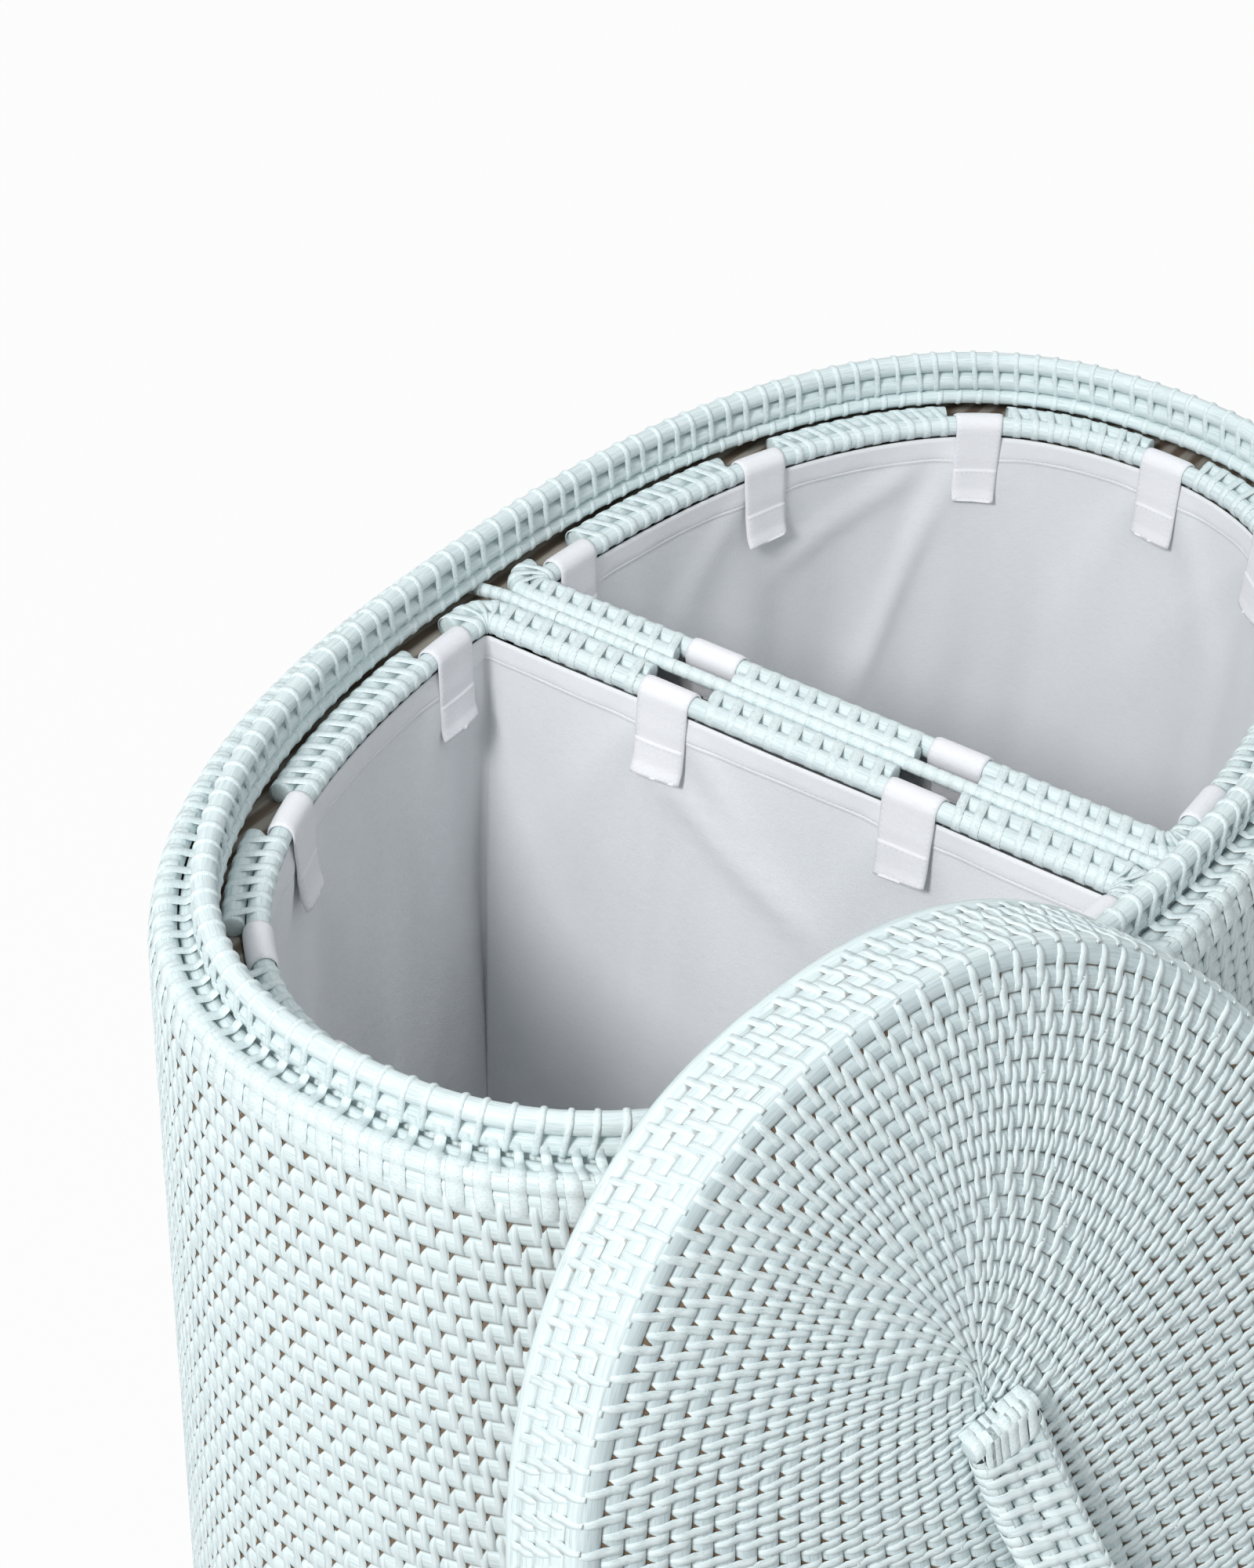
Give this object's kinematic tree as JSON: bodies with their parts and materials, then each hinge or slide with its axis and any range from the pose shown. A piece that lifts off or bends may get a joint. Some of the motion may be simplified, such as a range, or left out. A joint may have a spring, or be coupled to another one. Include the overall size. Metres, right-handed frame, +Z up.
{
  "type": "laundry hamper with two bins",
  "caption": "Tall oval coiled-rattan laundry hamper with two lift-out cloth bins side by side and a lift-off domed lid with a strap handle, leaning beside it.",
  "frame": {"origin": "middle of the underside of the hamper's base, on the floor", "axes": "+X along the long axis of the oval, towards the rear bin; +Z up; the lid leans on the -Y side"},
  "size_m": [0.7651, 0.6031, 0.6767],
  "materials": {
    "painted_rattan": "pale ice-blue paint, satin, over rattan cane",
    "natural_rattan": "unpainted rattan, matt",
    "cotton": "plain white cotton, matt"
  },
  "bodies": {
    "hamper": {"foot_ring": "painted_rattan", "base_panel": "natural_rattan", "wall": "painted_rattan", "shoulder_rod": "painted_rattan", "recess_rod": "painted_rattan", "neck_lower_rod": "painted_rattan", "neck_top_rod": "painted_rattan", "ledge_rod": "painted_rattan", "bin_shelf": "natural_rattan", "divider_rod": "painted_rattan"},
    "bin_rear": {"bin_rear_inner_rod": "painted_rattan", "bin_rear_outer_rod_1": "painted_rattan", "bin_rear_outer_rod_2": "painted_rattan", "bin_rear_outer_rod_3": "painted_rattan", "bin_rear_outer_rod_4": "painted_rattan", "bin_rear_outer_rod_5": "painted_rattan", "bin_rear_outer_rod_6": "painted_rattan", "bin_rear_outer_rod_7": "painted_rattan", "bin_rear_outer_rod_8": "painted_rattan", "bin_rear_outer_rod_9": "painted_rattan", "bin_rear_liner": "cotton", "bin_rear_tab_1": "cotton", "bin_rear_tab_2": "cotton", "bin_rear_tab_3": "cotton", "bin_rear_tab_4": "cotton", "bin_rear_tab_5": "cotton", "bin_rear_tab_6": "cotton", "bin_rear_tab_7": "cotton", "bin_rear_tab_8": "cotton", "bin_rear_tab_9": "cotton"},
    "bin_front": {"bin_front_inner_rod": "painted_rattan", "bin_front_outer_rod_1": "painted_rattan", "bin_front_outer_rod_2": "painted_rattan", "bin_front_outer_rod_3": "painted_rattan", "bin_front_outer_rod_4": "painted_rattan", "bin_front_outer_rod_5": "painted_rattan", "bin_front_outer_rod_6": "painted_rattan", "bin_front_outer_rod_7": "painted_rattan", "bin_front_outer_rod_8": "painted_rattan", "bin_front_outer_rod_9": "painted_rattan", "bin_front_liner": "cotton", "bin_front_tab_1": "cotton", "bin_front_tab_2": "cotton", "bin_front_tab_3": "cotton", "bin_front_tab_4": "cotton", "bin_front_tab_5": "cotton", "bin_front_tab_6": "cotton", "bin_front_tab_7": "cotton", "bin_front_tab_8": "cotton", "bin_front_tab_9": "cotton"},
    "lid": {"lid_panel": "painted_rattan", "lid_skirt": "painted_rattan", "lid_edge_rod": "painted_rattan", "handle_bar_upper": "painted_rattan", "handle_bar_lower": "painted_rattan", "handle_rod_1": "painted_rattan", "handle_rod_2": "painted_rattan", "handle_rod_3": "painted_rattan", "handle_rod_4": "painted_rattan"}
  },
  "joints": [
    {"name": "bin_rear_lift", "type": "slide", "parent": "hamper", "child": "bin_rear", "axis": [0, 0, 1], "range_m": [0, 0.6]},
    {"name": "bin_front_lift", "type": "slide", "parent": "hamper", "child": "bin_front", "axis": [0, 0, 1], "range_m": [0, 0.6]},
    {"name": "lid_lift", "type": "slide", "parent": "hamper", "child": "lid", "axis": [0, 0, 1], "range_m": [0, 0.65]}
  ]
}
